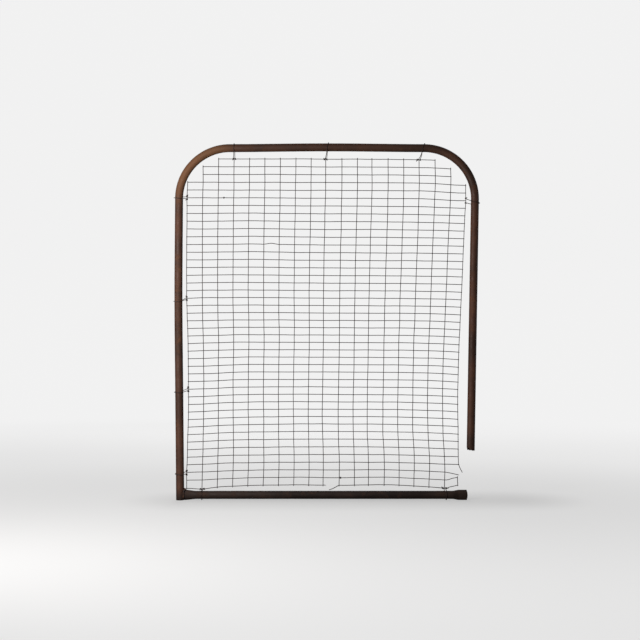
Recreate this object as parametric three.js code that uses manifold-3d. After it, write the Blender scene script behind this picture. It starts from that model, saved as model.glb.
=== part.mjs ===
// Livestock panel gate: a bent pipe frame with a sheet of welded wire mesh tied inside it.
// Millimetres, +Z up. The origin is the centre of the foot of the left (hinge side) upright.
// +X runs across the gate to the right upright, and the sheet sags towards +Y.
import * as THREE from 'three';
import { mergeVertices } from 'three/addons/utils/BufferGeometryUtils.js';
import Module from 'manifold-3d';

const wasm = await Module();
wasm.setup();

// ---------------------------------------------------------------- driving dimensions
const PIPE_R = 12.7;              // 1 in pipe
const PIPE_BORE_R = 10.6;
const PIPE_SIDES = 16;
const CLEARANCE = 0.3;            // between pieces that touch

const BEND_R = 167;               // centreline radius of both top corners
const TOP_Z = 1153;               // centreline of the top at the bends
const TOP_BOW = 2.6;              // how far its middle stands above that
const LEFT_TOP_X = -9.3;          // the left upright leans out by this much
const RIGHT_TOP_X = 964.5;
const RIGHT_BREAK_X = 945;        // the right upright leans in, down to its broken end
const RIGHT_BREAK_Z = 160;
const BEND_STEPS = 9;
const CUTTER_SPAN = 60;           // a cutting block or cylinder is larger than what it cuts
const CUTTER_SIDES = 24;

const RAIL_Z = 16.5;              // centreline of the bottom rail
const RAIL_PRESSED_H = 33;        // both of its ends are pressed flat and tall
const RAIL_PRESSED_T = 15;
const RAIL_LEFT_TAPER = [16, 52]; // pressed before the first x, round after the second
const RAIL_RIGHT_TAPER = [883, 907];
const RAIL_FAR_COPE_X = 944;      // axis of the upright that its free end was shaped to fit
const RAIL_STATIONS = [16, 24, 34, 44, 52, 300, 600, 883, 889, 895, 901, 907];  // close in the tapers
const WELD_THROAT = 3.6;          // how far the corner weld reaches along the rail
const WELD_PROUD = 2.6;           // and how far it stands off the rail
const WELD_FROM_GROUND = 4;       // the underside of the joint was left unwelded

const WIRE_R = 1.0;               // mesh wire
const TIE_R = 0.9;                // tie wire
const ROUND_TO_SQUARE = Math.sqrt(Math.PI) / 2;   // half side of the square of the same area
const WIRE_H = WIRE_R * ROUND_TO_SQUARE;
const TIE_H = TIE_R * ROUND_TO_SQUARE;
const LINE_OFFSET = 2 * WIRE_H + CLEARANCE;       // upright wires lie this far in front
const WELDED_OFFSET = 2 * WIRE_H - 0.4;           // the spine wire bites into the cross wires
const WIRE_END = 3.5;             // upright wires run on this far past the last crossing
const ROW_END = 1.5;              // and cross wires this far

const LAST_COLUMN = 18;
const LAST_ROW = 43;
const SPINE_COLUMN = 9;           // the upright wire that is one solid with the cross wires
const COLUMN_PITCH = 50.8;        // the mesh is the common 2 in by 1 in
const ROW_PITCH = 25.4;
const LEAN_COLUMNS = [9, 12];     // two upright wires that were welded a little to the left
const LEAN_SHIFT = 3;

// ---------------------------------------------------------------- small helpers
const vec = (x, y, z) => new THREE.Vector3(x, y, z);
const FRONT = vec(0, -1, 0);

function smoothstep(low, high, value) {
  const t = THREE.MathUtils.clamp((value - low) / (high - low), 0, 1);
  return t * t * (3 - 2 * t);
}

// A smooth height or place as a function of one number, through [input, output] pairs.
function through(pairs) {
  return (input) => {
    let i = 0;
    while (i < pairs.length - 2 && input > pairs[i + 1][0]) i += 1;
    const [x0, y0] = pairs[i];
    const [x1, y1] = pairs[i + 1];
    const slope = (a, b) => (pairs[b][1] - pairs[a][1]) / (pairs[b][0] - pairs[a][0]);
    const m0 = slope(Math.max(i - 1, 0), i + 1);
    const m1 = slope(i, Math.min(i + 2, pairs.length - 1));
    const t = (input - x0) / (x1 - x0);
    const width = x1 - x0;
    return y0 * (1 + 2 * t) * (1 - t) ** 2 + y1 * t * t * (3 - 2 * t)
      + m0 * width * t * (1 - t) ** 2 + m1 * width * t * t * (t - 1);
  };
}

// A path whose extrusion stations are exactly its points. Where `facing` gives a direction
// for each point, one side of the section keeps facing that way.
class StationPath extends THREE.CatmullRomCurve3 {
  constructor(points, facing = null) {
    super(points);
    this.facing = facing;
  }

  getPointAt(u, target) { return this.getPoint(u, target); }

  getTangentAt(u, target) { return this.getTangent(u, target); }

  computeFrenetFrames(segments, closed) {
    if (!this.facing) return super.computeFrenetFrames(segments, closed);
    const last = this.points.length - 1;
    const tangents = this.points.map((point, i) => {
      const ahead = this.points[Math.min(i + 1, last)];
      const behind = this.points[Math.max(i - 1, 0)];
      return ahead.clone().sub(behind).normalize();
    });
    const binormals = tangents.map((t, i) => t.clone().cross(this.facing[i]).normalize());
    const normals = tangents.map((t, i) => binormals[i].clone().cross(t).normalize());
    return { tangents, normals, binormals };
  }
}

function polygon(sides, radius, turn = 0) {
  const points = [];
  for (let i = 0; i < sides; i += 1) {
    const a = turn + (i * 2 * Math.PI) / sides;
    points.push(new THREE.Vector2(radius * Math.cos(a), radius * Math.sin(a)));
  }
  return new THREE.Shape(points);
}

const squareSection = (half) => polygon(4, half * Math.SQRT2, Math.PI / 4);

function sweep(section, points, facing) {
  const extrudePath = new StationPath(points, facing);
  return new THREE.ExtrudeGeometry(section, { steps: points.length - 1, extrudePath });
}

// ---------------------------------------------------------------- cutting and joining
function solid(geometry) {
  const bare = geometry.clone();
  bare.deleteAttribute('normal');
  bare.deleteAttribute('uv');
  const merged = mergeVertices(bare, 1e-4);
  return new wasm.Manifold(new wasm.Mesh({
    numProp: 3,
    vertProperties: new Float32Array(merged.attributes.position.array),
    triVerts: new Uint32Array(merged.index.array),
  }));
}

function shell(manifold) {
  const { vertProperties, triVerts } = manifold.getMesh();
  const geometry = new THREE.BufferGeometry();
  geometry.setAttribute('position', new THREE.BufferAttribute(vertProperties, 3));
  geometry.setIndex(new THREE.BufferAttribute(triVerts, 1));
  geometry.computeVertexNormals();
  return geometry;
}

// A standing cylinder that reaches above and below the rail.
function uprightCylinder(radius, x, height = 2 * CUTTER_SPAN) {
  const geometry = new THREE.CylinderGeometry(radius, radius, height, CUTTER_SIDES);
  geometry.rotateX(Math.PI / 2);
  geometry.translate(x, 0, CUTTER_SPAN / 2);
  return solid(geometry);
}

// A block that takes off whatever stands at the left upright and lower than z.
function everythingBelow(z) {
  const block = new THREE.BoxGeometry(CUTTER_SPAN, CUTTER_SPAN, CUTTER_SPAN);
  block.translate(0, 0, z - CUTTER_SPAN / 2);
  return solid(block);
}

// ---------------------------------------------------------------- frame of bent pipe
const leftUprightX = through([[0, 0], [325, LEFT_TOP_X / 2], [650, LEFT_TOP_X],
  [1000, LEFT_TOP_X]]);

function bend(centreX, startAngle) {
  const points = [];
  for (let i = 0; i <= BEND_STEPS; i += 1) {
    const a = startAngle - (i * Math.PI) / 2 / BEND_STEPS;
    points.push(vec(centreX + BEND_R * Math.cos(a), 0, TOP_Z - BEND_R + BEND_R * Math.sin(a)));
  }
  return points;
}

function framePoints(pastFoot, pastBreak) {
  const left = [-pastFoot, 110, 325, 650, 850].map((z) => (
    vec(leftUprightX(Math.max(z, 0)), 0, z)));
  const leftBend = bend(LEFT_TOP_X + BEND_R, Math.PI);
  const rightBend = bend(RIGHT_TOP_X - BEND_R, Math.PI / 2);
  const start = leftBend[BEND_STEPS].x;
  const span = rightBend[0].x - start;
  const top = [0.25, 0.5, 0.75].map((t) => (
    vec(start + t * span, 0, TOP_Z + TOP_BOW * (1 - (2 * t - 1) ** 2))));
  const bendEnd = rightBend[BEND_STEPS];
  const breakPoint = vec(RIGHT_BREAK_X, 0, RIGHT_BREAK_Z);
  const past = 1 + pastBreak / bendEnd.distanceTo(breakPoint);
  const right = [0.2, 0.6, past].map((t) => bendEnd.clone().lerp(breakPoint, t));
  return [...left, ...leftBend, ...top, ...rightBend, ...right];
}

function frameTube() {
  const outline = sweep(polygon(PIPE_SIDES, PIPE_R), framePoints(5, 5));
  const bore = sweep(polygon(PIPE_SIDES, PIPE_BORE_R), framePoints(10, 10));
  return shell(solid(outline).subtract(solid(bore)).subtract(breakCutter())
    .subtract(everythingBelow(0)));
}

// The right upright tore off: its inner corner is missing and the rim is ragged.
function breakCutter() {
  const torn = new THREE.Shape([
    [-18, -20], [18, -20], [18, 2], [12, 0], [7, 1.5], [3, -0.5],
    [-1, 2.5], [-5, 1], [-8, 6], [-11, 10], [-18, 11],
  ].map(([x, z]) => new THREE.Vector2(x, z)));
  const cutter = new THREE.ExtrudeGeometry(torn, { depth: CUTTER_SPAN, bevelEnabled: false });
  cutter.rotateX(Math.PI / 2);
  cutter.translate(RIGHT_BREAK_X, CUTTER_SPAN / 2, RIGHT_BREAK_Z);
  return solid(cutter);
}

// ---------------------------------------------------------------- bottom rail and its weld
function pressedAmount(x) {
  return Math.max(1 - smoothstep(...RAIL_LEFT_TAPER, x), smoothstep(...RAIL_RIGHT_TAPER, x));
}

// A bar along X whose round section is pressed tall and thin where the rail's ends are.
function railBar(radius, inset, from, to) {
  const stations = [from, ...RAIL_STATIONS.filter((x) => x > from && x < to), to];
  const points = stations.map((x) => vec(x, 0, RAIL_Z));
  const bar = sweep(polygon(PIPE_SIDES, radius), points, points.map(() => FRONT));
  const position = bar.attributes.position;
  for (let i = 0; i < position.count; i += 1) {
    const pressed = pressedAmount(position.getX(i));
    const tall = THREE.MathUtils.lerp(radius, RAIL_PRESSED_H / 2 - inset, pressed) / radius;
    const thick = THREE.MathUtils.lerp(radius, RAIL_PRESSED_T / 2 - inset, pressed) / radius;
    position.setY(i, position.getY(i) * thick);
    position.setZ(i, RAIL_Z + (position.getZ(i) - RAIL_Z) * tall);
  }
  return solid(bar);
}

function bottomRail() {
  const wall = PIPE_R - PIPE_BORE_R;
  const farEnd = RAIL_FAR_COPE_X;
  return shell(railBar(PIPE_R, 0, 1, farEnd)
    .subtract(railBar(PIPE_BORE_R, wall, 0, farEnd + 1))
    .subtract(uprightCylinder(PIPE_R + CLEARANCE, 0))
    .subtract(uprightCylinder(PIPE_R, RAIL_FAR_COPE_X)));
}

function cornerWeld() {
  const run = uprightCylinder(PIPE_R + CLEARANCE + WELD_THROAT, 0)
    .subtract(uprightCylinder(PIPE_R + CLEARANCE, 0, 2 * CUTTER_SPAN + 1));
  const sleeve = railBar(PIPE_R + WELD_PROUD, -WELD_PROUD, 6, 20)
    .subtract(railBar(PIPE_R + CLEARANCE, -CLEARANCE, 5, 21));
  return shell(run.intersect(sleeve).subtract(everythingBelow(WELD_FROM_GROUND)));
}

// ---------------------------------------------------------------- the sagging mesh sheet
const leftEdgeX = through([[0, 19], [9, 17.4], [18, 17.6], [25, 22], [33, 24], [43, 20.5]]);
const rightEdgeX = through([[0, 933.5], [4, 933], [14, 923], [24, 913.5], [31, 910], [36, 910],
  [40, 915], [43, 914]]);
const leftRowZ = through([[0, 1117.3], [9, 884.5], [18, 657.4], [30, 363], [43, 38.5]]);
const liftWithRow = through([[0, 0], [9, 0], [18, 2.7], [24, 5], [43, 5]]);
const FLAT_ROWS = 8;              // no sag and no lift down to this row
const RIGHT_DROP = 4.5;           // rows start this much lower at the right edge

// The sheet bulges back. Its middle was pressed flat against a wall that the gate leaned on,
// and it is held at the pipe only by the ties, so the right edge and the bottom swing free.
const SAG_DEPTH = 105;
const WALL_AT_FOOT = 95;          // the flat spot lies on a plane that leans away from the gate
const WALL_LEAN = 0.0444;
const sagAcross = through([[0, 0.04], [1, 0.2], [2, 0.4], [3, 0.53], [5, 0.66], [8, 1], [12, 1],
  [15, 0.7], [18, 0.5]]);
const sagDown = through([[0, 0], [8, 0], [11, 0.08], [16, 0.25], [20, 0.43], [24, 0.75], [28, 0.98],
  [32, 0.98], [38, 0.56], [43, 0.32]]);
const bottomEdgeSag = through([[0, 3], [1, 2], [4, 18], [9, 33], [14, 20], [17, 3], [18, 3]]);
const BOTTOM_ROWS = [36, 43];     // the sag changes to the bottom edge's over these rows

function sagAt(column, row) {
  if (row <= FLAT_ROWS) return 0;
  const free = SAG_DEPTH * sagAcross(column) * sagDown(row);
  const depth = THREE.MathUtils.lerp(free, bottomEdgeSag(column), smoothstep(...BOTTOM_ROWS, row));
  return Math.min(depth, WALL_AT_FOOT - WALL_LEAN * leftRowZ(row));
}

// How far along a row a column lies, from 0 to 1: every wire keeps its pitch along the curve.
function alongRow(column, row) {
  let total = 0;
  const reached = [0];
  for (let c = 1; c <= LAST_COLUMN; c += 1) {
    total += Math.sqrt(COLUMN_PITCH ** 2 - (sagAt(c, row) - sagAt(c - 1, row)) ** 2);
    reached.push(total);
  }
  const whole = Math.min(Math.floor(column), LAST_COLUMN - 1);
  return THREE.MathUtils.lerp(reached[whole], reached[whole + 1], column - whole) / total;
}

// Where the sheet has stretched and buckled: column, spread, row, spread, millimetres along X and Z.
const BUCKLES = [
  [9, 40, 31, 6, 0, -3],
  [1.3, 1.6, 30, 9, 0, -3],
  [4, 2.3, 11, 6, 0, 2.2],
  [6, 2.5, 43, 3, 0, 2.5],
  [13, 2.2, 43, 3.5, 0, 3.5],
  [10, 7, 27, 8, 4.5, 0],
  [16, 3, 43, 4.5, -5, 0],
  [18, 1.7, 2, 7, 0, -5.5],
  [16.7, 1, 2, 4, 3, 0],
  [18, 0.7, 39.5, 2.5, -6, 2.5],
];

function buckled(column, row) {
  const offset = vec(0, 0, 0);
  BUCKLES.forEach(([columnAt, columnSpread, rowAt, rowSpread, alongX, alongZ]) => {
    const far = ((column - columnAt) / columnSpread) ** 2 + ((row - rowAt) / rowSpread) ** 2;
    offset.addScaledVector(vec(alongX, 0, alongZ), Math.exp(-far));
  });
  return offset;
}

function sheetPoint(column, row) {
  const across = alongRow(column, row);
  const side = Math.abs(2 * across - 1);
  const lift = row <= FLAT_ROWS ? 0 : liftWithRow(row) * (1 - side ** 6);
  const drop = RIGHT_DROP * (1 - 0.55 * smoothstep(20, 40, row)) * across ** 3;
  const x = THREE.MathUtils.lerp(leftEdgeX(row), rightEdgeX(row), across);
  return vec(x, sagAt(column, row), leftRowZ(row) - drop + lift).add(buckled(column, row));
}

// The solids follow the sheet in flat patches between these columns and rows.
const PATCH_COLUMNS = [0, 1, 2, 3, 5, 7, 9, 12, 14, 16, 17, 18];
const PATCH_ROWS = [0, 8, 11, 14, 17, 20, 22, 24, 28, 33, 36, 40, 43];

function bracket(stations, value) {
  let i = 0;
  while (i < stations.length - 2 && value > stations[i + 1]) i += 1;
  const [low, high] = [stations[i], stations[i + 1]];
  return [low, high, (value - low) / (high - low)];
}

function patchPoint(column, row) {
  const [c0, c1, ct] = bracket(PATCH_COLUMNS, column);
  const [r0, r1, rt] = bracket(PATCH_ROWS, row);
  const upper = sheetPoint(c0, r0).lerp(sheetPoint(c1, r0), ct);
  const lower = sheetPoint(c0, r1).lerp(sheetPoint(c1, r1), ct);
  const point = upper.lerp(lower, rt);
  point.z += leftRowZ(row) - THREE.MathUtils.lerp(leftRowZ(r0), leftRowZ(r1), rt);
  return point;
}

function frontNormal(column, row) {
  const c = [Math.max(column - 0.5, 0), Math.min(column + 0.5, LAST_COLUMN)];
  const r = [Math.max(row - 0.5, 0), Math.min(row + 0.5, LAST_ROW)];
  const right = patchPoint(c[1], row).sub(patchPoint(c[0], row));
  const down = patchPoint(column, r[1]).sub(patchPoint(column, r[0]));
  return down.cross(right).normalize();
}

function inFront(column, row, distance) {
  return patchPoint(column, row).addScaledVector(frontNormal(column, row), distance);
}

function leaned(column) {
  return LEAN_COLUMNS.includes(column) ? column - LEAN_SHIFT / COLUMN_PITCH : column;
}

// Moves both ends of a run of points outwards, along the run.
function runOn(points, distance = WIRE_END) {
  const last = points.length - 1;
  const first = points[0].clone().sub(points[1]).setLength(distance);
  const final = points[last].clone().sub(points[last - 1]).setLength(distance);
  return points.map((p, i) => p.clone()
    .add(i === 0 ? first : vec(0, 0, 0)).add(i === last ? final : vec(0, 0, 0)));
}

function crossWire(row, fromColumn, toColumn, tail = []) {
  const inner = PATCH_COLUMNS.filter((c) => c > fromColumn && c < toColumn);
  const columns = [fromColumn, ...inner, toColumn];
  const points = columns.map((c) => patchPoint(c, row));
  const facing = columns.map((c) => frontNormal(c, row));
  const ends = tail.length ? [...points, ...tail] : runOn(points, ROW_END);
  return sweep(squareSection(WIRE_H), ends, [...facing, ...tail.map(() => FRONT)]);
}

function lineWire(number, fromRow, toRow, offset, tail = []) {
  const column = leaned(number);
  const rows = [fromRow, ...PATCH_ROWS.filter((r) => r > fromRow && r < toRow), toRow];
  const points = rows.map((r) => inFront(column, r, offset));
  const facing = rows.map((r) => frontNormal(column, r));
  const ends = tail.length ? [...points, ...tail] : runOn(points);
  return sweep(squareSection(WIRE_H), ends, [...facing, ...tail.map(() => FRONT)]);
}

// The sheet was clipped in steps to clear the bends, and its lower right corner is torn.
function firstColumn(row) { return row < 1 ? 2 : (row < 3 ? 1 : 0); }

function firstRow(column) {
  const fromEdge = Math.min(column, LAST_COLUMN - column);
  return fromEdge === 0 ? 3 : (fromEdge === 1 ? 1 : 0);
}

const TORN_ROW = 41;              // from here down the cross wires are free of the right edge
const tornEnds = {
  41: [vec(893, 0, 88), vec(906, 0, 80)],
  42: [vec(884, 0, 70), vec(902, 0, 74.5)],
  43: [patchPoint(17.25, 43), vec(889, 0, 45.5), vec(902, 0, 48.5)],
};

function crossWires() {
  let joined = solid(lineWire(SPINE_COLUMN, 0, LAST_ROW, WELDED_OFFSET));
  for (let row = 0; row <= LAST_ROW; row += 1) {
    const from = firstColumn(row);
    let wire = null;
    if (row === LAST_ROW) wire = crossWire(row, from, SPINE_COLUMN);
    else if (row >= TORN_ROW) wire = crossWire(row, from, LAST_COLUMN - 1, tornEnds[row]);
    else wire = crossWire(row, from, LAST_COLUMN - from);
    joined = joined.add(solid(wire));
  }
  return shell(joined);
}

// The bottom cross wire snapped beside the spine: its right part starts with a bent end.
const BROKEN_BEFORE = 10;         // the column where its straight run starts
const BENT_END = [vec(-33, 3, -15), vec(-14, 1, -8)];

function bottomWireRight() {
  const start = patchPoint(BROKEN_BEFORE, LAST_ROW);
  const bent = BENT_END.map((offset) => start.clone().add(offset));
  const last = LAST_COLUMN - 1;
  const inner = PATCH_COLUMNS.filter((c) => c > BROKEN_BEFORE && c < last);
  const columns = [BROKEN_BEFORE, ...inner, last];
  const points = [...bent, ...columns.map((c) => patchPoint(c, LAST_ROW)), ...tornEnds[LAST_ROW]];
  const facing = points.map(() => FRONT);
  columns.forEach((c, i) => { facing[i + bent.length] = frontNormal(c, LAST_ROW); });
  return sweep(squareSection(WIRE_H), points, facing);
}

// A short piece of the right edge wire still joins the two torn ends.
const STUB_X = 900.5;
const STUB_TOP_Z = 79;
const STUB_BOTTOM_Z = 43;

function edgeWireStub() {
  const points = [vec(STUB_X, -LINE_OFFSET, STUB_TOP_Z), vec(STUB_X, -LINE_OFFSET, STUB_BOTTOM_Z)];
  return sweep(squareSection(WIRE_H), points, [FRONT, FRONT]);
}

// ---------------------------------------------------------------- ties
const TIE_HALF_GAP = 3.4;         // from a crossing to the first turn of each coil
const TIE_TURN_STEPS = 7;
const TIE_WRAP_STEPS = 9;
const TIE_WRAP_SPAN = 4.1;        // most radians that the loop covers round the pipe
const TIE_CORNER = TIE_H * Math.SQRT2;
const TIE_PITCH = 2 * TIE_CORNER + CLEARANCE;
// The straight steps of a coil or loop cut inside its circle, so the circle is larger.
const TIE_WRAP_R = (PIPE_R + TIE_CORNER + CLEARANCE)
  / Math.cos(TIE_WRAP_SPAN / TIE_WRAP_STEPS / 2);
const TIE_COIL_R = (WIRE_H * Math.SQRT2 + TIE_CORNER + CLEARANCE)
  / Math.cos(Math.PI / TIE_TURN_STEPS);

// A coil round the mesh wire, a leg, half a loop round the pipe, a leg and a second coil.
// wireAt gives the mesh wire's place at a distance from the crossing, and `slant` is how far
// along the pipe the loop sits from the coils.
function tie({ wireAt, pipe, along, turns = 2, slant = 0 }) {
  const crossing = wireAt(0);
  const outward = pipe.clone().sub(crossing);
  outward.addScaledVector(along, -outward.dot(along));
  const distance = outward.length();
  outward.normalize();
  const normal = along.clone().cross(outward);
  const leave = Math.PI / 2 + Math.asin((TIE_WRAP_R - TIE_COIL_R) / distance);
  const onCircle = (centre, radius, angle) => centre.clone()
    .addScaledVector(outward, radius * Math.cos(angle))
    .addScaledVector(normal, radius * Math.sin(angle));
  const coilSteps = Math.round(turns * TIE_TURN_STEPS);
  const coilPoint = (side, step) => {
    const shift = side * (TIE_HALF_GAP + (step * TIE_PITCH) / TIE_TURN_STEPS);
    const angle = leave + (step * 2 * Math.PI) / TIE_TURN_STEPS;
    return onCircle(wireAt(shift), TIE_COIL_R, -side * angle);
  };
  const points = [];
  for (let i = coilSteps; i >= 0; i -= 1) points.push(coilPoint(-1, i));
  for (let i = 0; i <= TIE_WRAP_STEPS; i += 1) {
    const t = 1 - (2 * i) / TIE_WRAP_STEPS;
    const centre = crossing.clone()
      .addScaledVector(outward, distance)
      .addScaledVector(along, slant - 0.6 * t * TIE_HALF_GAP);
    points.push(onCircle(centre, TIE_WRAP_R, leave * t));
  }
  for (let i = 0; i <= coilSteps; i += 1) points.push(coilPoint(1, i));
  return sweep(squareSection(TIE_H), points);
}

function sideTie(column, row, slant) {
  const wireAt = (shift) => inFront(column, row - shift / ROW_PITCH, LINE_OFFSET);
  const z = wireAt(slant).z;
  const rightX = THREE.MathUtils.mapLinear(
    z, RIGHT_BREAK_Z, TOP_Z - BEND_R, RIGHT_BREAK_X, RIGHT_TOP_X);
  const pipe = vec(column === 0 ? leftUprightX(z) : rightX, 0, z);
  return tie({ wireAt, pipe, along: vec(0, 0, 1), slant });
}

function rowTie(column, row, pipeZ, slant) {
  const wireAt = (shift) => patchPoint(leaned(column) + shift / COLUMN_PITCH, row);
  return tie({ wireAt, pipe: vec(wireAt(slant).x, 0, pipeZ), along: vec(1, 0, 0), slant });
}

// A scrap of an old tie, still wound on a cross wire beside a crossing.
const REMNANT_COLUMN = 10;
const REMNANT_ROW = 42;
const REMNANT_START = 3;          // right of the crossing
const REMNANT_STEPS = 10;

function tieRemnant() {
  const centre = patchPoint(REMNANT_COLUMN, REMNANT_ROW);
  const facing = frontNormal(REMNANT_COLUMN, REMNANT_ROW);
  const right = facing.clone().cross(vec(0, 0, 1)).normalize().negate();
  const points = [];
  for (let i = 0; i <= REMNANT_STEPS; i += 1) {
    const a = (i * 2 * Math.PI) / TIE_TURN_STEPS;
    points.push(centre.clone()
      .addScaledVector(vec(0, 0, 1), TIE_COIL_R * Math.cos(a))
      .addScaledVector(facing, TIE_COIL_R * Math.sin(a))
      .addScaledVector(right, REMNANT_START + (i * TIE_PITCH) / TIE_TURN_STEPS));
  }
  return sweep(squareSection(TIE_H), points);
}

// ---------------------------------------------------------------- finishes
const finish = (color, roughness, metalness) => (
  new THREE.MeshStandardMaterial({ color, roughness, metalness }));
const rustyPipe = finish(0x4f382d, 0.72, 0.35);
const darkPipe = finish(0x2a2120, 0.7, 0.35);
const weldBead = finish(0x2b201d, 0.75, 0.3);
const meshWire = finish(0x4a4242, 0.6, 0.5);
const tieWire = finish(0x2a1f1f, 0.65, 0.45);

// ---------------------------------------------------------------- the gate
const gate = new THREE.Group();

function add(name, geometry, material) {
  const mesh = new THREE.Mesh(geometry, material);
  mesh.name = name;
  gate.add(mesh);
}

add('frame_tube', frameTube(), rustyPipe);
add('bottom_rail', bottomRail(), darkPipe);
add('corner_weld', cornerWeld(), weldBead);
add('mesh_cross_wires', crossWires(), meshWire);
add('mesh_bottom_wire_right', bottomWireRight(), meshWire);
add('mesh_edge_wire_stub', edgeWireStub(), meshWire);

for (let column = 0; column <= LAST_COLUMN; column += 1) {
  if (column === SPINE_COLUMN) continue;
  const torn = column === LAST_COLUMN;
  const toRow = torn ? TORN_ROW - 1 : LAST_ROW;
  const tail = torn ? [vec(915.6, -LINE_OFFSET, 92)] : [];
  const wire = lineWire(column, firstRow(column), toRow, LINE_OFFSET, tail);
  add(`mesh_upright_wire_${String(column + 1).padStart(2, '0')}`, wire, meshWire);
}

add('tie_left_1', sideTie(0, 5, 0), tieWire);
add('tie_left_2', sideTie(0, 18, -10), tieWire);
add('tie_left_3', sideTie(0, 30, -9), tieWire);
add('tie_left_4', sideTie(0, 41, -4), tieWire);
add('tie_top_1', rowTie(3, 0, TOP_Z, 0), tieWire);
add('tie_top_2', rowTie(9, 0, TOP_Z + TOP_BOW, 9), tieWire);
add('tie_top_3', rowTie(15, 0, TOP_Z, 18), tieWire);
add('tie_right', sideTie(18, 5, -8), tieWire);
add('tie_bottom_1', rowTie(1, LAST_ROW, RAIL_Z, 0), tieWire);
add('tie_bottom_2', rowTie(17, LAST_ROW, RAIL_Z, 5), tieWire);
add('tie_remnant', tieRemnant(), tieWire);

export default gate;
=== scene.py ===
"""Livestock panel gate: a bent pipe frame with a sheet of welded wire mesh tied inside it.

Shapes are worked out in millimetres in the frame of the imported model, and turn into metres where a mesh
is made. The wire mesh is one smooth sheet, sheet_point(column, row), counted from its upper left corner:
every wire, weld spot and tie takes its place from that.
"""

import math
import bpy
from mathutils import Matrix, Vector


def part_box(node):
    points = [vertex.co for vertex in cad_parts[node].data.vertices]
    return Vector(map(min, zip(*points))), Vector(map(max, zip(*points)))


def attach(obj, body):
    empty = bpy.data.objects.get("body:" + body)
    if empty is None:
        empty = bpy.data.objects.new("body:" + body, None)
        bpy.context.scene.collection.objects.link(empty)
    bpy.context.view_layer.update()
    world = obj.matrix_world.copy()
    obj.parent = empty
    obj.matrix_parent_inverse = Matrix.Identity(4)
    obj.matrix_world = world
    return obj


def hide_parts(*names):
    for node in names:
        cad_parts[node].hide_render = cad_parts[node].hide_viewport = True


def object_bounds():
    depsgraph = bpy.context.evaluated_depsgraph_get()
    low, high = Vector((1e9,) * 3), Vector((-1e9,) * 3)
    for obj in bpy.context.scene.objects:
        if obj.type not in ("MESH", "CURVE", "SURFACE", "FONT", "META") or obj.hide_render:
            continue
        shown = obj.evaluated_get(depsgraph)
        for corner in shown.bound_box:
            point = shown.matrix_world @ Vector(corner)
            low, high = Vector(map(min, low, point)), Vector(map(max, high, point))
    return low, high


bl_info = {
    "name": "Livestock Panel Gate",
    "version": (1, 0, 0),
    "blender": (4, 5, 0),
    "location": "View3D > Sidebar > Panel Gate",
    "description": "A bent pipe gate, rusted and torn, with welded wire mesh held in it by wire ties",
    "category": "Add Mesh",
}

from functools import lru_cache

import bpy
from mathutils import Vector, noise

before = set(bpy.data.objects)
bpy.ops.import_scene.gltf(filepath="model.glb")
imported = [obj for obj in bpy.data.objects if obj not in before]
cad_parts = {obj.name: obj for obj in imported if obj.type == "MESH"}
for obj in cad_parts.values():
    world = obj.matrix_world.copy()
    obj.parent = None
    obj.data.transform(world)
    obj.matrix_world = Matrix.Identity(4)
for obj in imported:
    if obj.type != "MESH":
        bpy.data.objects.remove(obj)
CAD_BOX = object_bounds()
MM = 0.001
noise.seed_set(1)  # or else noise_vector follows the clock


# ------------------------------------------------------------------ sizes read from the frame
def box_mm(node_name):
    """Lowest and highest corner of a CAD node, in millimetres."""
    low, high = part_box(node_name)
    return low / MM, high / MM


TUBE_LOW, TUBE_HIGH = box_mm("frame_tube")
RAIL_LOW, RAIL_HIGH = box_mm("bottom_rail")
CAD_PIPE_R = (TUBE_HIGH.y - TUBE_LOW.y) / 2
RAIL_Z = (RAIL_LOW.z + RAIL_HIGH.z) / 2
RAIL_END_H = RAIL_HIGH.z - RAIL_LOW.z         # both ends of the rail are pressed flat and tall

# ------------------------------------------------------------------ sizes of the bent pipe
RUST_SKIN = 0.4                               # the scale that has grown on the pipes
PIPE_R = CAD_PIPE_R + RUST_SKIN
PIPE_BORE_R = 10.6
BEND_R = 167                                  # centreline radius of both top corners
TOP_BOW = 2.6                                 # how far the middle of the top stands up
TOP_Z = TUBE_HIGH.z - CAD_PIPE_R - TOP_BOW        # centreline of the top at the bends
LEFT_TOP_X = TUBE_LOW.x + CAD_PIPE_R              # the left upright leans out by this much
RIGHT_TOP_X = TUBE_HIGH.x - CAD_PIPE_R
BEND_Z = TOP_Z - BEND_R
LEFT_BEND_AT = BEND_Z + BEND_R * math.pi / 4  # how far along the pipe the left bend's middle lies
BREAK_X, BREAK_Z = 945, 160                   # centre of the right upright's broken end
BREAK_BLEND = 30                              # length over which its rings turn ragged
EDGE_ROUND = 0.6                              # worn edges of cut pipe ends

# ------------------------------------------------------------------ sizes of the bottom rail
RAIL_END_T = 15                               # thickness of its pressed ends
RAIL_LEFT_TAPER = (16, 52)                    # pressed before the first x, round after the second
RAIL_RIGHT_TAPER = (883, 907)
RAIL_FAR_COPE_X = 944                         # axis of the upright that its free end was shaped for
WELD_FROM_GROUND = 5                          # the underside of the joint was left unwelded

# ------------------------------------------------------------------ sizes of the wire mesh
LAST_COLUMN, LAST_ROW = 18, 43
COLUMN_PITCH, ROW_PITCH = 50.8, 25.4
LEAN_COLUMNS, LEAN_SHIFT = (9, 12), 3         # two upright wires were welded a little to the left
SPINE_COLUMN = 9                              # its upright wire is part of the CAD's cross wires
WIRE_END = 3.5                                # wires run on this far past the last crossing
WIRE_BITE = 0.25                              # how far crossing wires melted into each other
POINTS_PER_CELL = 4                           # along a cross wire, and half as many up an upright


# ------------------------------------------------------------------ small helpers
def lerp(a, b, t):
    return a + (b - a) * t


def smoothstep(low, high, value):
    t = min(max((value - low) / (high - low), 0), 1)
    return t * t * (3 - 2 * t)


def steps(first, last, count):
    """Evenly spaced numbers from first to last, both included."""
    return [lerp(first, last, i / count) for i in range(count + 1)]


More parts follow.
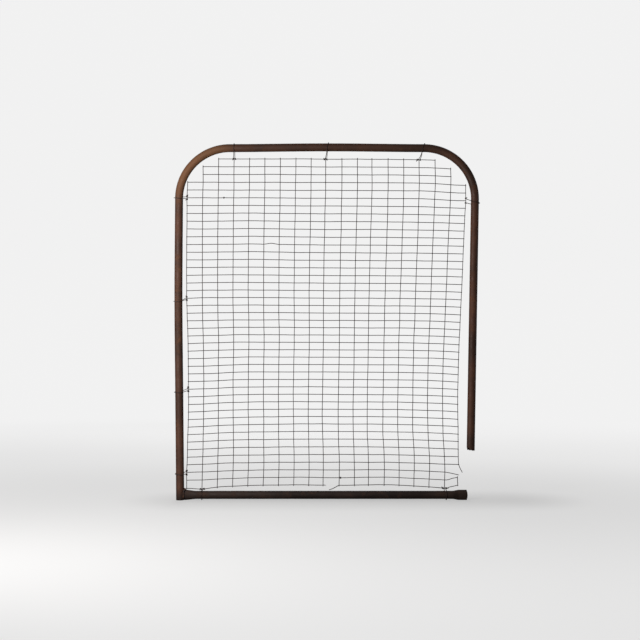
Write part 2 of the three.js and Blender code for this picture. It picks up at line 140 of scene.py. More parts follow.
def through(*pairs):
    """A smooth function of one number through (input, output) pairs."""

    def slope(a, b):
        return (pairs[b][1] - pairs[a][1]) / (pairs[b][0] - pairs[a][0])

    def value(x):
        i = 0
        while i < len(pairs) - 2 and x > pairs[i + 1][0]:
            i += 1
        (x0, y0), (x1, y1) = pairs[i], pairs[i + 1]
        start = slope(max(i - 1, 0), i + 1) * (x1 - x0)
        end = slope(i, min(i + 2, len(pairs) - 1)) * (x1 - x0)
        t = (x - x0) / (x1 - x0)
        rise = y0 * (1 + 2 * t) * (1 - t) ** 2 + y1 * t * t * (3 - 2 * t)
        return rise + start * t * (1 - t) ** 2 + end * t * t * (t - 1)

    return value


def softly_below(value, ceiling, blend):
    """The lower of two numbers, rounded off where they meet."""
    return -blend * math.log(math.exp(-value / blend) + math.exp(-ceiling / blend))


def wobble(place, size, depth, seed=0):
    """A small, always equal, offset that changes smoothly over about `size` millimetres."""
    return noise.noise_vector(place / size + Vector((seed * 17.3, seed * 5.1, seed * 9.7))) * depth


# ------------------------------------------------------------------ the sagging sheet
left_edge_x = through((0, 19), (9, 17.4), (18, 17.6), (25, 22), (33, 24), (43, 20.5))
right_edge_x = through((0, 933.5), (4, 933), (14, 923), (24, 913.5), (31, 910), (36, 910), (40, 915),
                       (43, 914))
left_row_z = through((0, 1117.3), (9, 884.5), (18, 657.4), (30, 363), (43, 38.5))
lift_with_row = through((0, 0), (9, 0), (18, 2.7), (24, 5), (43, 5))
FLAT_ROWS = 8                                 # no sag and no lift down to this row
RIGHT_DROP = 4.5                              # rows start this much lower at the right edge

# The sheet bulges back. Its middle was pressed flat against a wall that the gate leaned on, and only
# the ties hold it to the pipe, so the right edge and the bottom swing free.
SAG_DEPTH = 105
WALL_AT_FOOT, WALL_LEAN = 95, 0.0444          # the flat spot's plane
WALL_BLEND = 2.5
sag_across = through((0, 0.04), (1, 0.2), (2, 0.4), (3, 0.53), (5, 0.66), (8, 1), (12, 1), (15, 0.7),
                     (18, 0.5))
sag_down = through((0, 0), (8, 0), (11, 0.08), (16, 0.25), (20, 0.43), (24, 0.75), (28, 0.98),
                   (32, 0.98), (38, 0.56), (43, 0.32))
bottom_edge_sag = through((0, 3), (1, 2), (4, 18), (9, 33), (14, 20), (17, 3), (18, 3))
BOTTOM_ROWS = (36, 43)                        # the sag changes to the bottom edge's over these rows

# Where the sheet has stretched and buckled: column, spread, row, spread, millimetres along X and Z.
BUCKLES = (
    (9, 40, 31, 6, 0, -3),
    (1.3, 1.6, 30, 9, 0, -3),
    (4, 2.3, 11, 6, 0, 2.2),
    (6, 2.5, 43, 3, 0, 2.5),
    (13, 2.2, 43, 3.5, 0, 3.5),
    (10, 7, 27, 8, 4.5, 0),
    (16, 3, 43, 4.5, -5, 0),
    (18, 1.7, 2, 7, 0, -5.5),
    (16.7, 1, 2, 4, 3, 0),
    (18, 0.7, 39.5, 2.5, -6, 2.5),
)
# Where a side tie draws the edge wire towards the pipe: column, row, millimetres of pull along X.
SIDE_PULLS = ((0, 5, -1.2), (0, 18, -1.0), (0, 30, -2.0), (0, 41, -1.0), (18, 5, 1.2))
# Where a tie draws the bottom wire down towards the rail: column, millimetres of pull.
BOTTOM_PULLS = ((1, 5.5), (17, 1.5))


@lru_cache(maxsize=None)
def sag_at(column, row):
    """How far the sheet stands back, in millimetres."""
    if row <= FLAT_ROWS:
        return 0.0
    free = SAG_DEPTH * sag_across(column) * sag_down(row)
    depth = lerp(free, bottom_edge_sag(column), smoothstep(*BOTTOM_ROWS, row))
    return softly_below(depth, WALL_AT_FOOT - WALL_LEAN * left_row_z(row), WALL_BLEND)


@lru_cache(maxsize=None)
def columns_reached(row):
    """How far along the row each column lies, as every wire keeps its pitch along the curve."""
    reached = [0.0]
    for column in range(1, LAST_COLUMN + 1):
        deeper = sag_at(column, row) - sag_at(column - 1, row)
        reached.append(reached[-1] + math.sqrt(COLUMN_PITCH ** 2 - deeper ** 2))
    return reached


def pulled(column, row):
    """The offset that the ties give the sheet near its edges."""
    offset = Vector((0, 0, 0))
    for tied_column, tied_row, pull in SIDE_PULLS:
        offset.x += pull * math.exp(-abs(column - tied_column) / 0.5 - ((row - tied_row) / 0.9) ** 2)
    for tied_column, pull in BOTTOM_PULLS:
        offset.z -= pull * math.exp(-((column - tied_column) / 0.75) ** 2 - (LAST_ROW - row) / 0.6)
    return offset


def buckled(column, row):
    """How far the sheet is stretched out of its even grid."""
    offset = Vector((0, 0, 0))
    for column_at, column_spread, row_at, row_spread, along_x, along_z in BUCKLES:
        far = ((column - column_at) / column_spread) ** 2 + ((row - row_at) / row_spread) ** 2
        offset += Vector((along_x, 0, along_z)) * math.exp(-far)
    return offset


def sheet_point(column, row):
    """A place on the middle of the cross wires' sheet, in millimetres."""
    reached = columns_reached(row)
    whole = min(int(column), LAST_COLUMN - 1)
    across = lerp(reached[whole], reached[whole + 1], column - whole) / reached[-1]
    side = abs(2 * across - 1)
    lift = 0 if row <= FLAT_ROWS else lift_with_row(row) * (1 - side ** 6)
    drop = RIGHT_DROP * (1 - 0.55 * smoothstep(20, 40, row)) * across ** 3
    x = lerp(left_edge_x(row), right_edge_x(row), across)
    place = Vector((x, sag_at(column, row), left_row_z(row) - drop + lift))
    uneven = wobble(place, 75, 0.9) + wobble(place, 23, 0.35, 1)
    return place + uneven + buckled(column, row) + pulled(column, row)


def front_normal(column, row):
    """The direction that the sheet's front faces."""
    left, right = max(column - 0.5, 0), min(column + 0.5, LAST_COLUMN)
    above, below = max(row - 0.5, 0), min(row + 0.5, LAST_ROW)
    along = sheet_point(right, row) - sheet_point(left, row)
    down = sheet_point(column, below) - sheet_point(column, above)
    return down.cross(along).normalized()


def in_front(column, row, distance):
    return sheet_point(column, row) + front_normal(column, row) * distance


def leaned(column):
    return column - LEAN_SHIFT / COLUMN_PITCH if column in LEAN_COLUMNS else column


# ------------------------------------------------------------------ nodes, trees and materials
def linear(hex_colour):
    """An sRGB hex colour as linear red, green and blue."""
    parts = [int(hex_colour[i:i + 2], 16) / 255 for i in (1, 3, 5)]
    return tuple(c / 12.92 if c <= 0.04045 else ((c + 0.055) / 1.055) ** 2.4 for c in parts)


def node(tree, kind, settings=None, inputs=None, output=None):
    """Adds a node, gives its inputs a value or a link each, and returns one of its outputs."""
    made = tree.nodes.new(kind)
    for name, value in (settings or {}).items():
        setattr(made, name, value)
    for name, value in (inputs or {}).items():
        socket = next(s for s in made.inputs if s.enabled and name in (s.name, s.identifier))
        if isinstance(value, bpy.types.NodeSocket):
            tree.links.new(value, socket)
        else:
            socket.default_value = value
    return next((s for s in made.outputs if s.enabled and output in (None, s.name)), None)


def new_material(name):
    material = bpy.data.materials.new(name)
    material.use_nodes = True
    material.node_tree.nodes.clear()
    return material


def per(millimetres):
    """The scale at which a pattern repeats about every so many millimetres."""
    return 1 / (millimetres * MM)


def rgba(colour):
    return (*colour, 1)


def mixed(tree, factor, first, second, blend="MIX"):
    """A colour from the first to the second, by a factor."""
    inputs = {"Factor": factor, "A": first, "B": second}
    return node(tree, "ShaderNodeMix", {"data_type": "RGBA", "blend_type": blend}, inputs, "Result")


def ranged(tree, value, low, high, to_low=0.0, to_high=1.0):
    """A value between two limits, spread smoothly over another range."""
    inputs = {"Value": value, "From Min": low, "From Max": high, "To Min": to_low, "To Max": to_high}
    return node(tree, "ShaderNodeMapRange", {"interpolation_type": "SMOOTHSTEP"}, inputs)


def cloud(tree, place, size, detail=3, roughness=0.55, shift=0.0):
    """Soft noise from 0 to 1 whose patches are about so many millimetres across."""
    shifted = node(tree, "ShaderNodeVectorMath", {"operation": "ADD"},
                   {"Vector": place, "Vector_001": (shift, shift * 0.7, shift * 1.3)}, "Vector")
    inputs = {"Vector": shifted, "Scale": per(size), "Detail": detail, "Roughness": roughness}
    return node(tree, "ShaderNodeTexNoise", None, inputs, "Fac")


def finish_material(material, colour, roughness, metallic, specular, height, relief):
    """Joins a colour, a roughness and a height to a shader; relief is in millimetres."""
    tree = material.node_tree
    inputs = {"Height": height, "Distance": relief * MM, "Strength": 1.0}
    normal = node(tree, "ShaderNodeBump", None, inputs, "Normal")
    inputs = {"Base Color": colour, "Roughness": roughness, "Metallic": metallic,
              "Specular IOR Level": specular, "Normal": normal}
    shader = node(tree, "ShaderNodeBsdfPrincipled", None, inputs, "BSDF")
    node(tree, "ShaderNodeOutputMaterial", None, {"Surface": shader})
    return material


def oxide_coat(tree, palette, shift):
    """The skin that bare steel pipe grows: colour, roughness and height. The attribute `straightened`
    holds each point's place on the pipe as if it were unbent, so streaks run along the metal."""
    base, deep, pale, dust = (rgba(linear(c)) for c in palette)
    place = node(tree, "ShaderNodeTexCoord", output="Object")
    pipe_place = node(tree, "ShaderNodeAttribute", {"attribute_name": "straightened"}, output="Vector")
    stretched = node(tree, "ShaderNodeMapping", None, {"Vector": pipe_place, "Scale": (1, 1, 0.12)})
    patches = cloud(tree, place, 140, 3, 0.5, shift)
    blotches = cloud(tree, place, 26, 5, 0.62, shift + 3)
    streaks = cloud(tree, stretched, 9, 4, 0.6, shift + 5)
    grain = cloud(tree, place, 2.6, 3, 0.6, shift + 7)
    pits = node(tree, "ShaderNodeTexVoronoi", None, {"Vector": place, "Scale": per(5)}, "Distance")
    pitted = ranged(tree, blotches, 0.52, 0.68)
    pit_cores = ranged(tree, pits, 0.1, 0.3, 1.0, 0.0)
    pit_mask = node(tree, "ShaderNodeMath", {"operation": "MULTIPLY"},
                    {"Value": pit_cores, "Value_001": pitted})
    colour = mixed(tree, ranged(tree, patches, 0.38, 0.64), base, deep)
    colour = mixed(tree, ranged(tree, blotches, 0.5, 0.74, 0.0, 0.75), colour, pale)
    colour = mixed(tree, ranged(tree, streaks, 0.5, 0.75, 0.0, 0.5), colour, deep)
    colour = mixed(tree, ranged(tree, grain, 0.55, 0.8, 0.0, 0.35), colour, dust)
    colour = mixed(tree, pit_mask, colour, deep, "MULTIPLY")
    roughness = ranged(tree, blotches, 0.3, 0.7, 0.5, 0.78)
    scale = node(tree, "ShaderNodeMath", {"operation": "MULTIPLY_ADD"},
                 {"Value": grain, "Value_001": 0.35, "Value_002": blotches})
    height = node(tree, "ShaderNodeMath", {"operation": "SUBTRACT"},
                  {"Value": scale, "Value_001": pit_mask})
    return colour, roughness, height, place


def rusted_pipe():
    """Black iron gas pipe, bare and rusted indoors: a thin brown oxide that has rubbed smooth, so it is
    a satin brown with paler ochre patches, dark streaks along the metal and fine pits. It is darker
    along the top. Round the left bend a paler ochre patch stands for flaked oxide and a painted
    highlight, and near the floor it is painted darker, as contact shade with some grime."""
    material = new_material("rusted_iron_pipe")
    tree = material.node_tree
    palette = ("#54372b", "#3d2a22", "#694632", "#7d6450")
    colour, roughness, height, place = oxide_coat(tree, palette, 0.0)
    along = node(tree, "ShaderNodeAttribute", {"attribute_name": "straightened"}, output="Vector")
    along = node(tree, "ShaderNodeSeparateXYZ", None, {"Vector": along}, "Z")
    upright = node(tree, "ShaderNodeSeparateXYZ", None, {"Vector": place}, "Z")
    # The top rail is made darker, towards the deep colour.
    darker_along_top = ranged(tree, upright, TOP_Z * MM - 0.03, TOP_Z * MM, 0.0, 0.55)
    colour = mixed(tree, darker_along_top, colour, rgba(linear(palette[1])))
    # A paler ochre patch round the left bend: a painted highlight, together with flaked oxide.
    past = node(tree, "ShaderNodeMath", {"operation": "SUBTRACT"},
                {"Value": along, "Value_001": LEFT_BEND_AT * MM})
    away = node(tree, "ShaderNodeMath", {"operation": "ABSOLUTE"}, {"Value": past})
    bend_highlight_and_flaking = ranged(tree, away, 0.07, 0.17, 0.55, 0.0)
    colour = mixed(tree, bend_highlight_and_flaking, colour, rgba(linear("#80593c")))
    # Darker near the floor: painted contact shade, with some grime.
    foot_shade_and_grime = ranged(tree, upright, 0.0, 0.045, 1.0, 0.0)
    colour = mixed(tree, foot_shade_and_grime, colour, rgba(linear("#2a1f1b")))
    return finish_material(material, colour, roughness, 0.1, 0.2, height, 0.22)


def dark_pipe():
    """The same pipe where it lay near the ground and stayed black: mill scale under grime, nearly
    black, with brown only where the scale has flaked."""
    material = new_material("black_scaled_pipe")
    palette = ("#332824", "#241c1a", "#412f27", "#4f4039")
    colour, roughness, height, _ = oxide_coat(material.node_tree, palette, 11.0)
    return finish_material(material, colour, roughness, 0.1, 0.15, height, 0.25)


def weld_bead():
    """Arc weld metal left bare: dark blue-brown scale with rust in the ripples."""
    material = new_material("bare_weld_metal")
    tree = material.node_tree
    place = node(tree, "ShaderNodeTexCoord", output="Object")
    rust = cloud(tree, place, 6, 4, 0.6, 2.0)
    colour = mixed(tree, ranged(tree, rust, 0.45, 0.65), rgba(linear("#2b2322")),
                   rgba(linear("#4d3528")))
    roughness = ranged(tree, rust, 0.3, 0.7, 0.45, 0.75)
    return finish_material(material, colour, roughness, 0.2, 0.2, rust, 0.25)


def mesh_wire():
    """Galvanised mesh wire whose zinc has gone: dull grey-brown steel with specks of rust."""
    material = new_material("weathered_mesh_wire")
    tree = material.node_tree
    place = node(tree, "ShaderNodeTexCoord", output="Object")
    dull = cloud(tree, place, 35, 4, 0.6, 1.0)
    speck = cloud(tree, place, 4, 3, 0.6, 4.0)
    colour = mixed(tree, ranged(tree, dull, 0.35, 0.65), rgba(linear("#433a39")),
                   rgba(linear("#322a28")))
    colour = mixed(tree, ranged(tree, speck, 0.55, 0.72, 0.0, 0.8), colour, rgba(linear("#4c3126")))
    roughness = ranged(tree, speck, 0.3, 0.7, 0.5, 0.75)
    return finish_material(material, colour, roughness, 0.2, 0.3, speck, 0.08)


def tie_wire():
    """Black annealed tie wire, soft and dark, with a brown bloom."""
    material = new_material("annealed_tie_wire")
    tree = material.node_tree
    place = node(tree, "ShaderNodeTexCoord", output="Object")
    bloom = cloud(tree, place, 5, 4, 0.6, 6.0)
    colour = mixed(tree, ranged(tree, bloom, 0.42, 0.68), rgba(linear("#2b2221")),
                   rgba(linear("#45322a")))
    roughness = ranged(tree, bloom, 0.3, 0.7, 0.45, 0.7)
    return finish_material(material, colour, roughness, 0.2, 0.25, bloom, 0.08)


# ------------------------------------------------------------------ geometry trees
def new_tree(name, **inputs):
    """An empty geometry tree with a geometry in and out, and named inputs with their defaults."""
    tree = bpy.data.node_groups.new(name, "GeometryNodeTree")
    tree.interface.new_socket("Geometry", in_out="OUTPUT", socket_type="NodeSocketGeometry")
    tree.interface.new_socket("Geometry", in_out="INPUT", socket_type="NodeSocketGeometry")
    for label, value in inputs.items():
        kind = "Int" if isinstance(value, int) else "Float"
        made = tree.interface.new_socket(label.replace("_", " "), in_out="INPUT",
                                         socket_type="NodeSocket" + kind)
        made.default_value = value
    tree.interface.new_socket("Material", in_out="INPUT", socket_type="NodeSocketMaterial")
    return tree


def given(tree, label):
    return node(tree, "NodeGroupInput", output=label)


def close_tree(tree, geometry):
    """Ends a tree: smooth faces, real geometry and the finish."""
    smooth = node(tree, "GeometryNodeSetShadeSmooth", None, {"Geometry": geometry})
    real = node(tree, "GeometryNodeRealizeInstances", None, {"Geometry": smooth})
    inputs = {"Geometry": real, "Material": given(tree, "Material")}
    painted = node(tree, "GeometryNodeSetMaterial", None, inputs)
    node(tree, "NodeGroupOutput", None, {"Geometry": painted})


def noise_field(tree, size_label, seed_label, output):
    """Noise at each point's place; its patches and its seed come from two inputs of the tree."""
    place = node(tree, "GeometryNodeInputPosition")
    scale = node(tree, "ShaderNodeMath", {"operation": "DIVIDE"},
                 {"Value": 1.0, "Value_001": given(tree, size_label)})
    inputs = {"Vector": place, "W": given(tree, seed_label), "Scale": scale, "Detail": 2.0}
    return node(tree, "ShaderNodeTexNoise", {"noise_dimensions": "4D"}, inputs, output)


def wire_tree():
    """Sweeps a round wire along every line of a mesh of edges. `thickness` varies it by point."""
    tree = new_tree("round_wire_along_lines", Radius=0.001, Sides=8, Smoothness=1,
                    Unevenness=0.04, Grain=0.004, Seed=1.0)
    lines = node(tree, "GeometryNodeMeshToCurve", None, {"Mesh": given(tree, "Geometry")})
    spline = node(tree, "GeometryNodeCurveSplineType", {"spline_type": "CATMULL_ROM"},
                  {"Curve": lines})
    fine = node(tree, "GeometryNodeSetSplineResolution", None,
                {"Geometry": spline, "Resolution": given(tree, "Smoothness")})
    section = node(tree, "GeometryNodeCurvePrimitiveCircle", None,
                   {"Resolution": given(tree, "Sides"), "Radius": given(tree, "Radius")}, "Curve")
    thickness = node(tree, "GeometryNodeInputNamedAttribute", {"data_type": "FLOAT"},
                     {"Name": "thickness"}, "Attribute")
    grain = noise_field(tree, "Grain", "Seed", "Fac")
    centred = node(tree, "ShaderNodeMath", {"operation": "SUBTRACT"},
                   {"Value": grain, "Value_001": 0.5})
    uneven = node(tree, "ShaderNodeMath", {"operation": "MULTIPLY"},
                  {"Value": centred, "Value_001": given(tree, "Unevenness")})
    factor = node(tree, "ShaderNodeMath", {"operation": "MULTIPLY_ADD"},
                  {"Value": uneven, "Value_001": 2.0, "Value_002": thickness})
    swept = node(tree, "GeometryNodeCurveToMesh", None,
                 {"Curve": fine, "Profile Curve": section, "Scale": factor, "Fill Caps": True})
    close_tree(tree, swept)
    return tree


def spot_tree():
    """Sets a small flattened nugget on every point, turned to the point's `facing`."""
    tree = new_tree("weld_spots_on_points", Radius=0.0015, Flatness=0.75, Unevenness=0.12, Seed=3)
    ball = node(tree, "GeometryNodeMeshUVSphere", None,
                {"Segments": 8, "Rings": 5, "Radius": given(tree, "Radius")}, "Mesh")
    facing = node(tree, "GeometryNodeInputNamedAttribute", {"data_type": "FLOAT_VECTOR"},
                  {"Name": "facing"}, "Attribute")
    turned = node(tree, "FunctionNodeAlignRotationToVector", {"axis": "Z"}, {"Vector": facing})
    low = node(tree, "ShaderNodeMath", {"operation": "SUBTRACT"},
               {"Value": 1.0, "Value_001": given(tree, "Unevenness")})
    high = node(tree, "ShaderNodeMath", {"operation": "ADD"},
                {"Value": 1.0, "Value_001": given(tree, "Unevenness")})
    size = node(tree, "FunctionNodeRandomValue", {"data_type": "FLOAT"},
                {"Min_001": low, "Max_001": high, "Seed": given(tree, "Seed")}, "Value")
    flat = node(tree, "ShaderNodeMath", {"operation": "MULTIPLY"},
                {"Value": size, "Value_001": given(tree, "Flatness")})
    scale = node(tree, "ShaderNodeCombineXYZ", None, {"X": size, "Y": size, "Z": flat})
    spots = node(tree, "GeometryNodeInstanceOnPoints", None,
                 {"Points": given(tree, "Geometry"), "Instance": ball, "Rotation": turned,
                  "Scale": scale})
    close_tree(tree, spots)
    return tree


def relief_tree():
    """Roughens a surface along its normals, as rust lifts and eats a skin of iron."""
    tree = new_tree("rust_relief", Depth=0.0002, Grain=0.01, Seed=1.0)
    level = noise_field(tree, "Grain", "Seed", "Fac")
    centred = node(tree, "ShaderNodeMath", {"operation": "SUBTRACT"},
                   {"Value": level, "Value_001": 0.5})
    depth = node(tree, "ShaderNodeMath", {"operation": "MULTIPLY"},
                 {"Value": centred, "Value_001": given(tree, "Depth")})
    normal = node(tree, "GeometryNodeInputNormal", output="Normal")
    push = node(tree, "ShaderNodeVectorMath", {"operation": "SCALE"},
                {"Vector": normal, "Scale": depth}, "Vector")
    moved = node(tree, "GeometryNodeSetPosition", None,
                 {"Geometry": given(tree, "Geometry"), "Offset": push})
    close_tree(tree, moved)
    return tree


TREES = {}
FINISHES = {}


def shared(store, make):
    """A tree or a material that is made once and used by several pieces."""
    if make.__name__ not in store:
        store[make.__name__] = make()
    return store[make.__name__]


# ------------------------------------------------------------------ making pieces
def mesh_object(name, points, edges=(), faces=(), **attributes):
    """A mesh object at the origin from points in millimetres, with a value a point for each name."""
    mesh = bpy.data.meshes.new(name)
    mesh.from_pydata([point * MM for point in points], edges, faces)
    for label, values in attributes.items():
        if isinstance(values[0], float):
            made = mesh.attributes.new(label, "FLOAT", "POINT")
            made.data.foreach_set("value", values)
        else:
            made = mesh.attributes.new(label, "FLOAT_VECTOR", "POINT")
            made.data.foreach_set("vector", [number for vector in values for number in vector])
    piece = bpy.data.objects.new(name, mesh)
    bpy.context.scene.collection.objects.link(piece)
    return piece


def line_object(name, paths, thickness=None):
    """Each path of points as one line of edges. `thickness` gives a factor by point, or none."""
    points, edges = [], []
    for path in paths:
        edges += [(len(points) + i, len(points) + i + 1) for i in range(len(path) - 1)]
        points += path
    return mesh_object(name, points, edges, thickness=thickness or [1.0] * len(points))


def bake(piece, make_tree, finish, **values):
    """Runs a geometry tree on an object and keeps the plain mesh that it makes."""
    tree = shared(TREES, make_tree)
    modifier = piece.modifiers.new(tree.name, "NODES")
    modifier.node_group = tree
    sockets = {s.name: s.identifier for s in tree.interface.items_tree if s.in_out == "INPUT"}
    modifier[sockets["Material"]] = shared(FINISHES, finish)
    for label, value in values.items():
        modifier[sockets[label]] = value
    depsgraph = bpy.context.evaluated_depsgraph_get()
    mesh = bpy.data.meshes.new_from_object(piece.evaluated_get(depsgraph), depsgraph=depsgraph)
    piece.modifiers.remove(modifier)
    source = piece.data
    piece.data = mesh
    mesh.name = piece.name
    bpy.data.meshes.remove(source)
    return piece


def fit_in(piece, slot, *nodes):
    """Puts a finished piece on the gate in place of its CAD nodes."""
    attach(piece, "root")
    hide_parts(*nodes)


def hollow_tube(name, outer, inner, straightened):
    """One closed shell from rings of points: the outside, the bore, and the rims between them."""
    rings = [*outer, *reversed(inner)]
    sides = len(rings[0])
    faces = []
    for k in range(len(rings)):
        here, ahead = k * sides, (k + 1) % len(rings) * sides
        for i in range(sides):
            j = (i + 1) % sides
            faces.append((here + i, here + j, ahead + j, ahead + i))
    points = [point for ring in rings for point in ring]
    return mesh_object(name, points, (), faces, straightened=straightened)


def ring_places(distances, sides, radius):
    """For each ring, the place its points would have on a straight pipe along Z, in metres."""
    places = []
    for distance in distances:
        for i in range(sides):
            turn = 2 * math.pi * i / sides
            place = Vector((radius * math.cos(turn), radius * math.sin(turn), distance))
            places.append(place * MM)
    return places


# ------------------------------------------------------------------ frame of bent pipe
left_upright_x = through((0, 0), (325, LEFT_TOP_X / 2), (650, LEFT_TOP_X), (1000, LEFT_TOP_X))
RIGHT_LEAN = math.atan2(RIGHT_TOP_X - BREAK_X, BEND_Z - BREAK_Z)
# Height of the torn edge over the break's centre, by how far to the right of it.
torn_edge = through((-18, 11), (-11, 10), (-8, 6), (-5, 1), (-1, 2.5), (3, -0.5), (7, 1.5), (12, 0),
                    (18, 2))


def bend(centre_x, first, last, count=64):
    """Points round one top corner, between two angles in radians."""
    return [Vector((centre_x + BEND_R * math.cos(a), 0, BEND_Z + BEND_R * math.sin(a)))
            for a in steps(first, last, count)]


def frame_centreline():
    """Points along the middle of the bent pipe, from the foot to the start of the torn end."""
    left_centre, right_centre = LEFT_TOP_X + BEND_R, RIGHT_TOP_X - BEND_R
    points = [Vector((left_upright_x(z), 0, z)) for z in steps(0, BEND_Z, 220)]
    points += bend(left_centre, math.pi, math.pi / 2)[1:]
    for t in steps(0, 1, 150)[1:]:
        bow = 16 * TOP_BOW * (t * (1 - t)) ** 2
        points.append(Vector((lerp(left_centre, right_centre, t), 0, TOP_Z + bow)))
    points += bend(right_centre, math.pi / 2, -RIGHT_LEAN, 66)[1:]
    down = Vector((-math.sin(RIGHT_LEAN), 0, -math.cos(RIGHT_LEAN)))
    length = (points[-1].z - BREAK_Z - BREAK_BLEND) / math.cos(RIGHT_LEAN)
    start = points[-1]
    points += [start + down * s for s in steps(0, length, 180)[1:]]
    return points


def frame_rings(radius, sides, thin_out, seed):
    """Rings of points round the frame's centreline, every `thin_out`-th one, then the torn end."""
    line = frame_centreline()
    rings, distances, travelled = [], [], 0
    for k, centre in enumerate(line):
        ahead, behind = line[min(k + 1, len(line) - 1)], line[max(k - 1, 0)]
        travelled += (centre - line[k - 1]).length if k else 0
        if k % thin_out and k != len(line) - 1:
            continue
        tangent = Vector((0, 0, 1)) if k == 0 else (ahead - behind).normalized()
        side = Vector((0, 1, 0)).cross(tangent)
        rings.append([centre + side * (radius * math.cos(a)) + Vector((0, radius * math.sin(a), 0))
                      for a in steps(0, 2 * math.pi, sides)[:-1]])
        distances.append(travelled)
    lowest, leaning = rings[-1], Vector((math.tan(RIGHT_LEAN), 0, 1))
    for s in steps(0, 1, 7 if thin_out > 1 else 12)[1:]:
        ring = []
        for point in lowest:
            across = point.x - BREAK_X
            jagged = noise.noise(Vector((across, point.y, seed)) / 2.3) * 0.9
            end_z = BREAK_Z + torn_edge(across + 0.35 * point.y) + jagged
            ring.append(point + leaning * (end_z - point.z) * s)
        rings.append(ring)
        distances.append(distances[-1] + BREAK_BLEND / 12)
    return rings, distances


def rounded_foot(rings, distances, radius, towards):
    """Adds a ring at the cut foot, a little inside the first, so that the worn edge is round."""
    first = rings[0]
    middle = sum(first, Vector()) / len(first)
    worn = [middle + (point - middle) * (1 + towards * EDGE_ROUND / radius) for point in first]
    raised = [point + Vector((0, 0, EDGE_ROUND)) for point in first]
    return [worn, raised, *rings[1:]], [0, EDGE_ROUND, *distances[1:]]


def build_frame_tube(sides):
    outer, outer_at = frame_rings(PIPE_R, sides, 1, 0.0)
    inner, inner_at = frame_rings(PIPE_BORE_R, sides, 4, 8.0)
    outer, outer_at = rounded_foot(outer, outer_at, PIPE_R, -1)
    inner, inner_at = rounded_foot(inner, inner_at, PIPE_BORE_R, 1)
    places = ring_places([*outer_at, *reversed(inner_at)], sides, PIPE_R)
    return hollow_tube("bent_pipe_frame", outer, inner, places)


# ------------------------------------------------------------------ bottom rail and its weld
def pressed_amount(x):
    """1 where the rail is pressed flat for a joint, 0 where it is round pipe."""
    return max(1 - smoothstep(*RAIL_LEFT_TAPER, x), smoothstep(*RAIL_RIGHT_TAPER, x))


def rail_half_sizes(x, radius):
    """Half height and half thickness of the rail at x; a bore is smaller by the pipe's wall."""
    pressed, wall = pressed_amount(x), PIPE_R - radius
    return (lerp(radius, RAIL_END_H / 2 - wall, pressed), lerp(radius, RAIL_END_T / 2 - wall, pressed))


def rail_ring(radius, sides, share):
    """A ring of the rail at a share of its length; both ends follow the round of an upright."""
    ring = []
    for a in steps(0, 2 * math.pi, sides)[:-1]:
        _, end_thick = rail_half_sizes(RAIL_LEFT_TAPER[0], radius)
        end_y = end_thick * math.cos(a)
        first = math.sqrt((PIPE_R + 0.3) ** 2 - end_y ** 2)
        last = RAIL_FAR_COPE_X - math.sqrt(PIPE_R ** 2 - end_y ** 2)
        x = lerp(first, last, share)
        half_height, half_thick = rail_half_sizes(x, radius)
        ring.append(Vector((x, half_thick * math.cos(a), RAIL_Z + half_height * math.sin(a))))
    return ring


def rail_shares():
    """Where the rail's rings stand: close together at its shaped ends, wider apart between."""
    near, far = 60 / RAIL_FAR_COPE_X, 870 / RAIL_FAR_COPE_X
    return [*steps(0, near, 26), *steps(near, far, 190)[1:], *steps(far, 1, 30)[1:]]


def build_bottom_rail(sides):
    shares = rail_shares()
    outer = [rail_ring(PIPE_R, sides, share) for share in shares]
    inner = [rail_ring(PIPE_BORE_R, sides, share) for share in shares[::3]]
    at = [share * RAIL_FAR_COPE_X for share in (*shares, *reversed(shares[::3]))]
    return hollow_tube("pressed_bottom_rail", outer, inner, ring_places(at, sides, PIPE_R))


WELD_R = 3.1
RIPPLE = 2.1                                  # one push of the electrode
INNER_CORNER = 0.6                            # the bead is this much thicker on top of the joint


def weld_path():
    """Points along the seam between rail and upright, up the front, over the top and down behind,
    and the bead's thickness at each."""
    half_height, half_thick = rail_half_sizes(0, PIPE_R)
    lowest = math.asin((WELD_FROM_GROUND - RAIL_Z) / half_height)
    points, thickness, travelled = [], [], 0.0
    for a in steps(lowest, math.pi - lowest, 260):
        y = -(half_thick + 0.9) * math.cos(a)
        z = RAIL_Z + (half_height + 0.9) * math.sin(a)
        seam = Vector((math.sqrt(PIPE_R ** 2 - y ** 2) + 1.1, y, z))
        travelled += (seam - points[-1]).length if points else 0.0
        points.append(seam)
        ripple = 0.1 * abs(math.sin(math.pi * travelled / RIPPLE))
        lump = 0.16 * noise.noise(seam / 6)
        over = INNER_CORNER * smoothstep(0.55, 1, math.sin(a))
        ends = smoothstep(0, 3, travelled)
        thickness.append((0.86 + ripple + lump + over) * lerp(0.5, 1, ends))
    return points, thickness


# ------------------------------------------------------------------ wires of the sheet
TORN_ROW = 41                 # from here down the cross wires are free of the right edge
BROKEN_AFTER = 9              # the lowest cross wire snapped just past this column
STUB_X = 900.5                # a short piece of the edge wire still joins the two torn ends


def first_column(row):
    """The sheet was clipped in steps to clear the bends."""
    return 2 if row < 1 else (1 if row < 3 else 0)


def first_row(column):
    from_edge = min(column, LAST_COLUMN - column)
    return 3 if from_edge == 0 else (1 if from_edge == 1 else 0)


def run_on(points, distance):
    """Carries both ends of a run of points on, along the run."""
    start = points[0] + (points[0] - points[1]).normalized() * distance
    end = points[-1] + (points[-1] - points[-2]).normalized() * distance
    return [start, *points, end]


def row_bump(column, row):
    """One cross wire was bent up between two uprights, where something pushed through it."""
    bumped = row == 11 and 5 < column < 6
    return Vector((0, 0, 3.6 * math.sin(math.pi * column) ** 2 if bumped else 0))


def row_points(row, first, last):
    """Points along a cross wire from one column to another."""
    count = max(round((last - first) * POINTS_PER_CELL), 1)
    return [sheet_point(c, row) + row_bump(c, row) for c in steps(first, last, count)]


